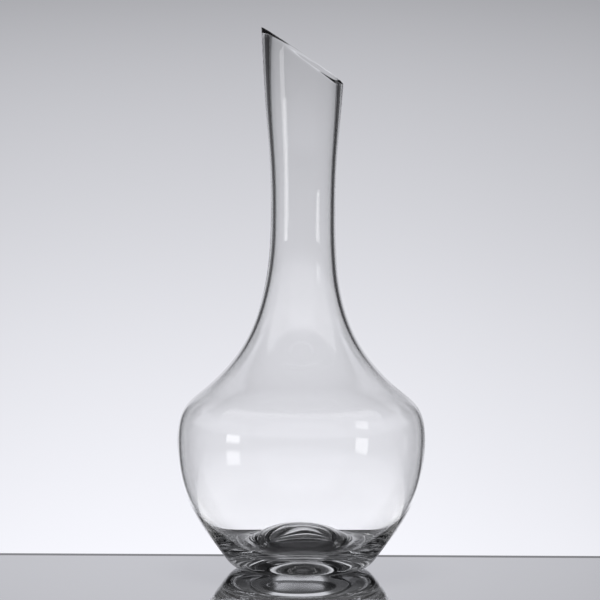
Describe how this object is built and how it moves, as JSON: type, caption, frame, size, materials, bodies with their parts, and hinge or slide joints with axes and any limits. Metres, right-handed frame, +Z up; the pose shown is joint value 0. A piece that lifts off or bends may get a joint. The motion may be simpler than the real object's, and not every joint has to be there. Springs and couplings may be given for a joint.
{
  "type": "wine decanter",
  "caption": "Clear blown glass wine decanter with a round bowl, a thick domed base and a long waisted neck cut at a slant.",
  "frame": {"origin": "on the axis of the bowl, in the plane of the ring that the decanter stands on", "axes": "+Z up along the axis of the bowl and neck; the tall side of the slanted mouth is towards -X and its low side towards +X"},
  "size_m": [0.1422, 0.1422, 0.3092],
  "materials": {
    "clear_glass": "clear, smooth, fire-polished"
  },
  "bodies": {
    "root": {"glass_body": "clear_glass"}
  },
  "joints": []
}
